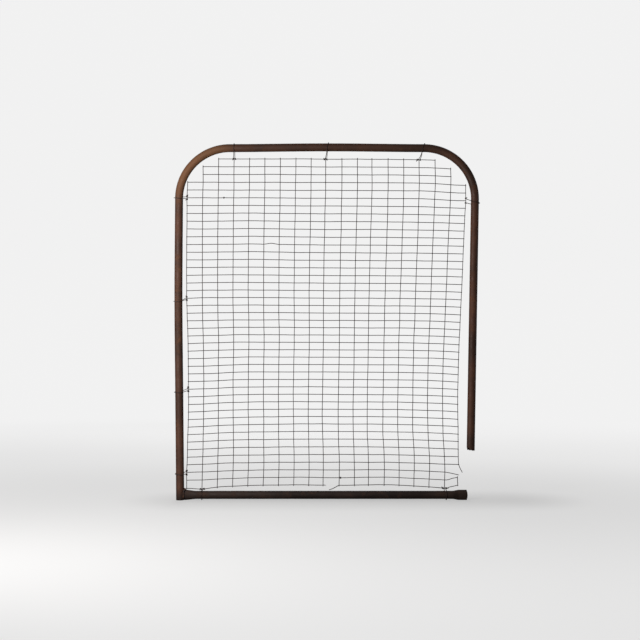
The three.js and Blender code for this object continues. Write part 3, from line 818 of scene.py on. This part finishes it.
def torn_tail(row):
    """The bent free end of a torn cross wire, in millimetres in the plane of the frame."""
    tails = {
        41: ((870, 88.6), (882, 86.3), (893, 83.8), (905, 81)),
        42: ((870, 65.2), (882, 69), (893, 71.6), (901.5, 72.9)),
        43: ((871, 40.5), (886, 44), (902.5, 47.8)),
    }
    return [Vector((x, 0, z)) for x, z in tails[row]]


def cross_wire_paths():
    paths = []
    for row in range(LAST_ROW):
        first = first_column(row)
        if row >= TORN_ROW:
            paths.append(run_on(row_points(row, first, 17) + torn_tail(row), 0.5))
        else:
            paths.append(run_on(row_points(row, first, LAST_COLUMN - first), 1.5))
    paths.append(run_on(row_points(LAST_ROW, 0, BROKEN_AFTER + 0.1), 1.5))
    return paths


def bottom_wire_right_path():
    """The rest of the lowest cross wire: it starts with a bent end and runs to the torn corner."""
    start = sheet_point(10, LAST_ROW)
    bent = [start + Vector((-33, 3, -15)), start + Vector((-22, 2, -11.5)), start + Vector((-10, 0.6, -5))]
    return [*bent, *row_points(LAST_ROW, 10, 17.25), *torn_tail(LAST_ROW)]


def upright_offset(wire_radius):
    return 2 * wire_radius - WIRE_BITE


def upright_points(number, first, last, wire_radius):
    """Points down an upright wire, which lies on the front of the cross wires."""
    column, count = leaned(number), max(round((last - first) * POINTS_PER_CELL / 2), 1)
    return [in_front(column, row, upright_offset(wire_radius)) for row in steps(first, last, count)]


def upright_path(number, wire_radius):
    if number == LAST_COLUMN:
        points = upright_points(number, first_row(number), TORN_ROW - 1, wire_radius)
        bent = Vector((915.6, -upright_offset(wire_radius), 92))
        points = [*points, (points[-1] + bent) / 2 + Vector((-0.8, 0, 0)), bent]
    else:
        points = upright_points(number, first_row(number), LAST_ROW, wire_radius)
    return run_on(points, WIRE_END)


def stub_path(wire_radius):
    front = -upright_offset(wire_radius)
    return [Vector((STUB_X + x, front, z)) for x, z in ((0.8, 77), (0.8, 68), (1.3, 56), (1.9, 45))]


def crossings():
    """Every column and row where an upright wire is welded to a cross wire."""
    found = []
    for column in range(LAST_COLUMN + 1):
        for row in range(first_row(column), LAST_ROW + 1):
            outside = not first_column(row) <= column <= LAST_COLUMN - first_column(row)
            torn = column == LAST_COLUMN and row >= TORN_ROW
            snapped = row == LAST_ROW and column > BROKEN_AFTER and column < BROKEN_AFTER + 1
            if not (outside or torn or snapped):
                found.append((leaned(column), row))
    return found


# ------------------------------------------------------------------ ties
TIE_STEPS = 20                # points a turn
TIE_HALF_GAP = 3.4            # from a crossing to the first turn of each coil
TIE_FIT = 0.15                # air between tie wire and what it is wound on


def tie_path(wire_at, pipe, along, radii, slant=0, turns=(2, 2), slack=1.0, tails=(3, 3),
             apart=0.6, pinch=0.0, gap=TIE_HALF_GAP, lean=0.0):
    """A coil round the mesh wire, a leg, half a loop round the pipe, a leg and a second coil.

    wire_at gives the mesh wire's place at a distance from the crossing, `along` is the direction of
    both pipe and wire, `slant` is how far along the pipe the loop sits from the coils, `slack` is how
    far the loop stands off the far side of the pipe, `tails` are the lengths of the cut ends, and
    `apart` is how far apart the legs are at the pipe, as a share of the coils' distance, and `pinch`
    keeps them side by side until they are near the wire. `gap` is from the crossing to a coil, and
    `lean` is the share of the slant that the loop makes up across the pipe."""
    wire_radius, tie_radius = radii
    coil_r = wire_radius + tie_radius + TIE_FIT
    loop_r = PIPE_R + tie_radius + TIE_FIT
    pitch = 2 * tie_radius + TIE_FIT
    crossing = wire_at(0)
    outward = pipe - crossing
    outward -= along * outward.dot(along)
    distance = outward.length
    outward.normalize()
    normal = along.cross(outward)
    leave = math.pi / 2 + math.asin((loop_r - coil_r) / distance)

    def on_circle(centre, radius, angle):
        return centre + outward * (radius * math.cos(angle)) + normal * (radius * math.sin(angle))

    def coil(side, turn_count, tail):
        points = []
        for step in range(round(turn_count * TIE_STEPS) + 1):
            shift = side * (gap + step * pitch / TIE_STEPS)
            angle = leave + step * 2 * math.pi / TIE_STEPS
            points.append(on_circle(wire_at(shift), coil_r, -side * angle))
        onward = (points[-1] - points[-2]).normalized()
        outside = (points[-1] - wire_at(shift)).normalized()
        for share in (0.4, 1):
            points.append(points[-1 if share < 1 else -2]
                          + (onward + outside * 0.5 * share) * tail * share)
        return points

    loop = []
    for t in steps(1, -1, 40):
        angle = leave * t
        radius = loop_r + slack * max(math.cos(angle), 0) ** 2
        centre = crossing + outward * distance + along * (slant * (1 - lean * abs(t)) - apart * t * gap)
        loop.append(on_circle(centre, radius, angle))
    def leg(wire_end, pipe_end):
        spread = (wire_end - pipe_end).dot(along)
        return [lerp(pipe_end, wire_end, t) + along * spread * (t ** (1 + pinch) - t)
                for t in steps(0, 1, 8)[1:-1]]

    first_coil, second_coil = coil(-1, turns[0], tails[0]), coil(1, turns[1], tails[1])
    legs = list(reversed(leg(first_coil[0], loop[0]))), leg(second_coil[0], loop[-1])
    path = [*reversed(first_coil), *legs[0], *loop, *legs[1], *second_coil]
    return [point + wobble(point, 8, 0.3, 2) for point in path]


def side_tie_path(column, row, radii, slant, **options):
    """A tie from an edge wire of the sheet to the upright beside it."""
    def wire_at(shift):
        return in_front(column, row - shift / ROW_PITCH, upright_offset(radii[0]))

    z = wire_at(slant).z
    right_x = lerp(BREAK_X, RIGHT_TOP_X, (z - BREAK_Z) / (BEND_Z - BREAK_Z))
    pipe = Vector((left_upright_x(z) if column == 0 else right_x, 0, z))
    return tie_path(wire_at, pipe, Vector((0, 0, 1)), radii, slant, **options)


def row_tie_path(column, row, pipe_z, radii, slant, **options):
    """A tie from the top or the lowest cross wire to the pipe above or below it."""
    def wire_at(shift):
        return sheet_point(leaned(column) + shift / COLUMN_PITCH, row)

    pipe = Vector((wire_at(slant).x, 0, pipe_z))
    return tie_path(wire_at, pipe, Vector((1, 0, 0)), radii, slant, **options)


def wound_on_row(column, row, start, turns, radii):
    """A scrap of tie wire still wound on a cross wire, `start` millimetres right of a column."""
    coil_r = radii[0] + radii[1] + TIE_FIT
    facing, up = front_normal(column, row), Vector((0, 0, 1))
    points = []
    for step in range(round(turns * TIE_STEPS) + 1):
        shift = start + step * 2.3 * radii[1] / TIE_STEPS
        angle = 2 * math.pi * step / TIE_STEPS
        centre = sheet_point(column + shift / COLUMN_PITCH, row)
        points.append(centre + up * (coil_r * math.cos(angle)) + facing * (coil_r * math.sin(angle)))
    onward = (points[-1] - points[-2]).normalized()
    points.append(points[-1] + onward * 2.5)
    return points


def all_ties(radii):
    """Each tie's CAD node and the path of its wire."""
    top_middle = TOP_Z + TOP_BOW
    return {
        "tie_left_1": side_tie_path(0, 5, radii, 0, slack=2.6, turns=(1.6, 2.2), apart=1.3),
        "tie_left_2": side_tie_path(0, 18, radii, -10, turns=(2.3, 1.7), tails=(2, 4)),
        "tie_left_3": side_tie_path(0, 30, radii, -9, turns=(2, 2.4), slack=1.6),
        "tie_left_4": side_tie_path(0, 41, radii, -4, turns=(2.2, 2), tails=(4, 2)),
        "tie_top_1": row_tie_path(3, 0, TOP_Z, radii, 0, turns=(1.1, 1.3), tails=(2, 2), apart=0.3,
                                  pinch=1.4, gap=2.6),
        "tie_top_2": row_tie_path(9, 0, top_middle, radii, 10, turns=(1.5, 1.2), tails=(3, 2),
                                  apart=0.3, pinch=1.0, gap=2.6, lean=0.5),
        "tie_top_3": row_tie_path(15, 0, TOP_Z, radii, 20, turns=(2.2, 1.2), tails=(4, 2),
                                  apart=0.3, pinch=1.0, gap=2.8, lean=0.45),
        "tie_right": side_tie_path(18, 5, radii, -8, turns=(1.4, 1.6), slack=1.4, apart=0.4, gap=6),
        "tie_bottom_1": row_tie_path(1, LAST_ROW, RAIL_Z, radii, 0, turns=(1.4, 2.4), slack=1.4,
                                     apart=0.3),
        "tie_bottom_2": row_tie_path(17, LAST_ROW, RAIL_Z, radii, 5, turns=(2, 2.3), slack=1.2,
                                     apart=0.3),
        "tie_remnant": wound_on_row(10, 42, 2, 1.6, radii),
    }


# ------------------------------------------------------------------ camera, floor and lights
def lathe_object(name, centre, profile, sides):
    """A bowl from (radius, height) pairs in metres, turned round an upright axis."""
    points = [(centre + Vector((r * math.cos(a), r * math.sin(a), z))) / MM
              for r, z in profile for a in steps(0, 2 * math.pi, sides)[:-1]]
    faces = [tuple(range(sides))]
    for k in range(len(profile) - 1):
        for i in range(sides):
            j = (i + 1) % sides
            faces.append((k * sides + i, (k + 1) * sides + i, (k + 1) * sides + j, k * sides + j))
    bowl = mesh_object(name, points, (), faces)
    bowl.data.polygons.foreach_set("use_smooth", [True] * len(bowl.data.polygons))
    return bowl


def seen_only(tree, strength, otherwise=0.0):
    """A strength for what is looked at, and another for the light that it sheds on the gate."""
    looked_at = node(tree, "ShaderNodeLightPath", output="Is Camera Ray")
    inputs = {"Factor": looked_at, "A": otherwise, "B": strength}
    return node(tree, "ShaderNodeMix", {"data_type": "FLOAT"}, inputs, "Result")


def foot_distance(tree, place, middle, half_length):
    """How far a place is from the line on the floor that the gate stands on."""
    parts = node(tree, "ShaderNodeSeparateXYZ", None, {"Vector": place}, "X").node.outputs
    across = node(tree, "ShaderNodeMath", {"operation": "SUBTRACT"},
                  {"Value": parts["X"], "Value_001": middle})
    across = node(tree, "ShaderNodeMath", {"operation": "ABSOLUTE"}, {"Value": across})
    beyond = node(tree, "ShaderNodeMath", {"operation": "SUBTRACT"},
                  {"Value": across, "Value_001": half_length})
    beyond = node(tree, "ShaderNodeMath", {"operation": "MAXIMUM"}, {"Value": beyond, "Value_001": 0.0})
    flat = node(tree, "ShaderNodeCombineXYZ", None, {"X": beyond, "Y": parts["Y"], "Z": parts["Z"]})
    return node(tree, "ShaderNodeVectorMath", {"operation": "LENGTH"}, {"Vector": flat}, "Value")


def studio_floor(settings):
    """A pale floor that turns up into a wall in one wide sweep all round. It glows to the eye only, so
    that it stays pale without lighting the gate, and less near the gate's foot, where a shadow is
    painted into its glow."""
    flat, sweep, height = 5.5, 1.6, 4.5
    curve = [(flat + sweep * math.sin(a), sweep * (1 - math.cos(a))) for a in steps(0, math.pi / 2, 16)]
    centre = Vector(((CAD_BOX[0].x + CAD_BOX[1].x) / 2, 0, 0))
    profile = [(1.0, 0.0), (3.0, 0.0), *curve, (flat + sweep, height)]
    floor = lathe_object("studio_floor", centre, profile, 96)
    material = new_material("matt_white_floor")
    tree = material.node_tree
    place = node(tree, "ShaderNodeTexCoord", output="Object")
    from_middle = node(tree, "ShaderNodeVectorMath", {"operation": "LENGTH"}, {"Vector": place}, "Value")
    glow = ranged(tree, from_middle, 0.5, flat, settings.floor_glow, settings.wall_glow)
    half_length = (CAD_BOX[1].x - CAD_BOX[0].x) / 2
    from_gate = foot_distance(tree, place, centre.x + settings.shade_shift, half_length)
    # The glow is turned down near the gate's foot: a painted shadow on the floor.
    for reach, least in ((settings.contact_reach, settings.contact_shade),
                         (settings.shade_reach, settings.wide_shade)):
        shade = ranged(tree, from_gate, 0.0, reach, least, 1.0)
        glow = node(tree, "ShaderNodeMath", {"operation": "MULTIPLY"},
                    {"Value": glow, "Value_001": shade})
    inputs = {"Base Color": rgba(settings.floor_colour), "Roughness": 0.9,
              "Emission Color": (1, 1, 1, 1), "Emission Strength": seen_only(tree, glow)}
    shader = node(tree, "ShaderNodeBsdfPrincipled", None, inputs, "BSDF")
    node(tree, "ShaderNodeOutputMaterial", None, {"Surface": shader})
    floor.data.materials.append(material)


def area_light(name, place, target, size, power, colour):
    data = bpy.data.lights.new(name, "AREA")
    data.shape = "DISK"
    data.size = size
    data.energy = power
    data.color = colour
    lamp = bpy.data.objects.new(name, data)
    lamp.location = place
    lamp.rotation_euler = (target - place).to_track_quat("-Z", "Y").to_euler()
    lamp.visible_camera = False
    bpy.context.scene.collection.objects.link(lamp)


def gate_camera(settings):
    """Looks a little upwards at the middle of the gate, from a point low in front of it."""
    low, high = CAD_BOX
    aim = Vector(((low.x + high.x) / 2 + settings.aim_offset, 0, (low.z + high.z) / 2))
    rise = settings.camera_rise
    back = Vector((0, -math.cos(rise), -math.sin(rise)))
    data = bpy.data.cameras.new("gate_camera")
    data.lens = settings.lens
    data.sensor_width = 36
    camera = bpy.data.objects.new("gate_camera", data)
    camera.location = aim + back * settings.camera_distance
    camera.rotation_euler = (math.pi / 2 + rise, 0, 0)
    bpy.context.scene.collection.objects.link(camera)
    bpy.context.scene.camera = camera


def pale_world(settings):
    """A pale sky over the bowl, which sheds only a little light of its own."""
    world = bpy.data.worlds.new("pale_studio")
    world.use_nodes = True
    tree = world.node_tree
    tree.nodes.clear()
    strength = seen_only(tree, settings.wall_glow, settings.world_strength)
    glow = node(tree, "ShaderNodeBackground", None, {"Color": (1, 1, 1, 1), "Strength": strength})
    node(tree, "ShaderNodeOutputWorld", None, {"Surface": glow})
    bpy.context.scene.world = world


# ------------------------------------------------------------------ settings
class GatePipeSettings(bpy.types.PropertyGroup):
    """The pipes and their weld."""

    sides: bpy.props.IntProperty(
        name="Pipe sides", description="Faces round each pipe", default=48, min=12)
    relief: bpy.props.FloatProperty(
        name="Rust relief", description="How far rust lifts or eats the surface",
        default=0.00045, unit="LENGTH")
    relief_grain: bpy.props.FloatProperty(
        name="Relief grain", description="Size of the rust's lumps", default=0.013, unit="LENGTH")


class GateMeshSettings(bpy.types.PropertyGroup):
    """The welded wire mesh."""

    wire_radius: bpy.props.FloatProperty(
        name="Wire radius", description="Half the thickness of the mesh wire",
        default=0.00116, unit="LENGTH")
    spot_radius: bpy.props.FloatProperty(
        name="Weld spot radius", description="Size of the nugget at each crossing",
        default=0.00175, unit="LENGTH")


class GateTieSettings(bpy.types.PropertyGroup):
    """The wire ties."""

    tie_radius: bpy.props.FloatProperty(
        name="Tie wire radius", description="Half the thickness of the tie wire",
        default=0.00105, unit="LENGTH")


class GateStageSettings(bpy.types.PropertyGroup):
    """Camera, floor and light."""

    lens: bpy.props.FloatProperty(
        name="Lens", description="Focal length in millimetres", default=58)
    camera_distance: bpy.props.FloatProperty(
        name="Camera distance", description="From the gate's plane", default=3.377, unit="LENGTH")
    camera_rise: bpy.props.FloatProperty(
        name="Camera rise", description="How far the camera looks up",
        default=math.radians(2.54), subtype="ANGLE")
    aim_offset: bpy.props.FloatProperty(
        name="Aim offset", description="How far the aim is to the right of the gate's middle",
        default=-0.023, unit="LENGTH")
    floor_colour: bpy.props.FloatVectorProperty(
        name="Floor colour", description="Colour of floor and wall", subtype="COLOR",
        default=linear("#6a6969"))
    floor_glow: bpy.props.FloatProperty(
        name="Floor glow", description="How bright the unlit floor looks", default=0.66)
    contact_reach: bpy.props.FloatProperty(
        name="Contact reach", description="How far the dark strip under the rail reaches", default=0.3,
        unit="LENGTH")
    contact_shade: bpy.props.FloatProperty(
        name="Contact shade", description="What the dark strip leaves of the glow", default=0.8)
    shade_reach: bpy.props.FloatProperty(
        name="Shade reach", description="How far the wide shade on the floor reaches", default=1.6,
        unit="LENGTH")
    wide_shade: bpy.props.FloatProperty(
        name="Wide shade", description="What the wide shade leaves of the glow", default=0.87)
    shade_shift: bpy.props.FloatProperty(
        name="Shade shift", description="How far the shade lies to the right", default=0.09,
        unit="LENGTH")
    wall_glow: bpy.props.FloatProperty(
        name="Wall glow", description="How bright the unlit wall looks", default=0.86)
    key_power: bpy.props.FloatProperty(
        name="Key light", description="Power of the near light at the upper left", default=32,
        unit="POWER")
    back_power: bpy.props.FloatProperty(
        name="Back light", description="Power of the wide light behind the gate", default=36,
        unit="POWER")
    side_power: bpy.props.FloatProperty(
        name="Side light", description="Power of the wide light at the right", default=14,
        unit="POWER")
    world_strength: bpy.props.FloatProperty(
        name="World", description="Strength of the even light from all round", default=0.2)


SETTINGS = {"gate_pipe": GatePipeSettings, "gate_mesh": GateMeshSettings,
            "gate_ties": GateTieSettings, "gate_stage": GateStageSettings}


# ------------------------------------------------------------------ operators
class GATE_OT_pipe_frame(bpy.types.Operator):
    """Bends the pipe frame, with its open foot and its torn end"""

    bl_idname = "gate.pipe_frame"
    bl_label = "Pipe frame"

    def execute(self, context):
        settings = context.scene.gate_pipe
        piece = bake(build_frame_tube(settings.sides), relief_tree, rusted_pipe,
                     Depth=settings.relief, Grain=settings.relief_grain, Seed=1.0)
        fit_in(piece, "rusted_pipe", "frame_tube")
        return {"FINISHED"}


class GATE_OT_bottom_rail(bpy.types.Operator):
    """Makes the bottom rail, pressed flat and coped at both ends"""

    bl_idname = "gate.bottom_rail"
    bl_label = "Bottom rail"

    def execute(self, context):
        settings = context.scene.gate_pipe
        piece = bake(build_bottom_rail(settings.sides), relief_tree, dark_pipe,
                     Depth=settings.relief, Grain=settings.relief_grain, Seed=7.0)
        fit_in(piece, "dark_pipe", "bottom_rail")
        return {"FINISHED"}


class GATE_OT_corner_weld(bpy.types.Operator):
    """Runs the weld bead round the joint of rail and upright"""

    bl_idname = "gate.corner_weld"
    bl_label = "Corner weld"

    def execute(self, context):
        points, thickness = weld_path()
        piece = bake(line_object("corner_weld_bead", [points], thickness), wire_tree, weld_bead,
                     Radius=WELD_R * MM, Sides=20, Unevenness=0.05, Grain=0.003)
        fit_in(piece, "weld_bead", "corner_weld")
        return {"FINISHED"}


class GATE_OT_cross_wires(bpy.types.Operator):
    """Runs the cross wires of the mesh, with the snapped lowest one"""

    bl_idname = "gate.cross_wires"
    bl_label = "Cross wires"

    def execute(self, context):
        radius = context.scene.gate_mesh.wire_radius
        wires = bake(line_object("cross_wires", cross_wire_paths()), wire_tree, mesh_wire,
                     Radius=radius, Smoothness=2)
        fit_in(wires, "mesh_wire", "mesh_cross_wires")
        rest = bake(line_object("bottom_wire_right_part", [bottom_wire_right_path()]), wire_tree,
                    mesh_wire, Radius=radius, Smoothness=3)
        fit_in(rest, "mesh_wire", "mesh_bottom_wire_right")
        return {"FINISHED"}


class GATE_OT_upright_wires(bpy.types.Operator):
    """Runs the upright wires of the mesh, each a piece of its own"""

    bl_idname = "gate.upright_wires"
    bl_label = "Upright wires"

    def execute(self, context):
        radius = context.scene.gate_mesh.wire_radius
        for column in range(LAST_COLUMN + 1):
            label = f"{column + 1:02d}"
            path = upright_path(column, radius / MM)
            wire = bake(line_object("upright_wire_" + label, [path]), wire_tree, mesh_wire,
                        Radius=radius, Smoothness=2)
            replaced = [] if column == SPINE_COLUMN else ["mesh_upright_wire_" + label]
            fit_in(wire, "mesh_wire", *replaced)
        stub = bake(line_object("edge_wire_stub", [stub_path(radius / MM)]), wire_tree, mesh_wire,
                    Radius=radius, Smoothness=4)
        fit_in(stub, "mesh_wire", "mesh_edge_wire_stub")
        return {"FINISHED"}


class GATE_OT_weld_spots(bpy.types.Operator):
    """Sets the weld nugget at every crossing of the mesh"""

    bl_idname = "gate.weld_spots"
    bl_label = "Weld spots"

    def execute(self, context):
        settings = context.scene.gate_mesh
        half = upright_offset(settings.wire_radius / MM) / 2
        places = crossings()
        points = [in_front(column, row, half) for column, row in places]
        facing = [tuple(front_normal(column, row)) for column, row in places]
        spots = bake(mesh_object("mesh_weld_spots", points, facing=facing), spot_tree, mesh_wire,
                     Radius=settings.spot_radius)
        fit_in(spots, "mesh_wire")
        return {"FINISHED"}


class GATE_OT_wire_ties(bpy.types.Operator):
    """Winds every wire tie, and the scraps of old ones"""

    bl_idname = "gate.wire_ties"
    bl_label = "Wire ties"

    def execute(self, context):
        wire_radius = context.scene.gate_mesh.wire_radius / MM
        tie_radius = context.scene.gate_ties.tie_radius
        radii = (wire_radius, tie_radius / MM)
        paths = {node_name: ([node_name], path) for node_name, path in all_ties(radii).items()}
        paths["tie_knot"] = ([], wound_on_row(2, 5, 17, 1.2, radii))
        for name, (replaced, path) in paths.items():
            wire = bake(line_object("wire_" + name, [path]), wire_tree, tie_wire,
                        Radius=tie_radius, Sides=10, Grain=0.003)
            fit_in(wire, "tie_wire", *replaced)
        return {"FINISHED"}


class GATE_OT_stage(bpy.types.Operator):
    """Sets up the camera, the pale floor and the studio light"""

    bl_idname = "gate.stage"
    bl_label = "Camera, floor and light"

    def execute(self, context):
        settings = context.scene.gate_stage
        gate_camera(settings)
        studio_floor(settings)
        pale_world(settings)
        middle = (CAD_BOX[0] + CAD_BOX[1]) / 2
        area_light("key_light", Vector((CAD_BOX[0].x - 0.55, -1.35, 0.9)), middle, 0.5,
                   settings.key_power, (1, 0.985, 0.96))
        area_light("back_light", Vector((middle.x - 0.4, 3.4, 2.2)), middle, 2.2,
                   settings.back_power, (1, 0.99, 0.98))
        area_light("side_light", Vector((CAD_BOX[1].x + 2.6, 0.6, 1.3)), middle, 1.8,
                   settings.side_power, (1, 0.99, 0.98))
        context.scene.view_settings.view_transform = "Standard"
        return {"FINISHED"}


class GATE_PT_panel(bpy.types.Panel):
    """Lists the parts of the gate in the sidebar"""

    bl_label = "Livestock Panel Gate"
    bl_idname = "GATE_PT_panel"
    bl_space_type = "VIEW_3D"
    bl_region_type = "UI"
    bl_category = "Panel Gate"

    def draw(self, context):
        for operator in OPERATORS:
            self.layout.operator(operator.bl_idname)
        for label, group in SETTINGS.items():
            column = self.layout.column(align=True)
            for name in group.__annotations__:
                column.prop(getattr(context.scene, label), name)


OPERATORS = (GATE_OT_pipe_frame, GATE_OT_bottom_rail, GATE_OT_corner_weld, GATE_OT_cross_wires,
             GATE_OT_upright_wires, GATE_OT_weld_spots, GATE_OT_wire_ties, GATE_OT_stage)


def register():
    for cls in (*SETTINGS.values(), *OPERATORS, GATE_PT_panel):
        bpy.utils.register_class(cls)
    for label, group in SETTINGS.items():
        setattr(bpy.types.Scene, label, bpy.props.PointerProperty(type=group))


def unregister():
    for label in SETTINGS:
        delattr(bpy.types.Scene, label)
    for cls in reversed((*SETTINGS.values(), *OPERATORS, GATE_PT_panel)):
        bpy.utils.unregister_class(cls)


def main():
    register()
    bpy.ops.gate.pipe_frame()
    bpy.ops.gate.bottom_rail()
    bpy.ops.gate.corner_weld()
    bpy.ops.gate.cross_wires()
    bpy.ops.gate.upright_wires()
    bpy.ops.gate.weld_spots()
    bpy.ops.gate.wire_ties()
    bpy.ops.gate.stage()


if __name__ == "__main__":
    main()
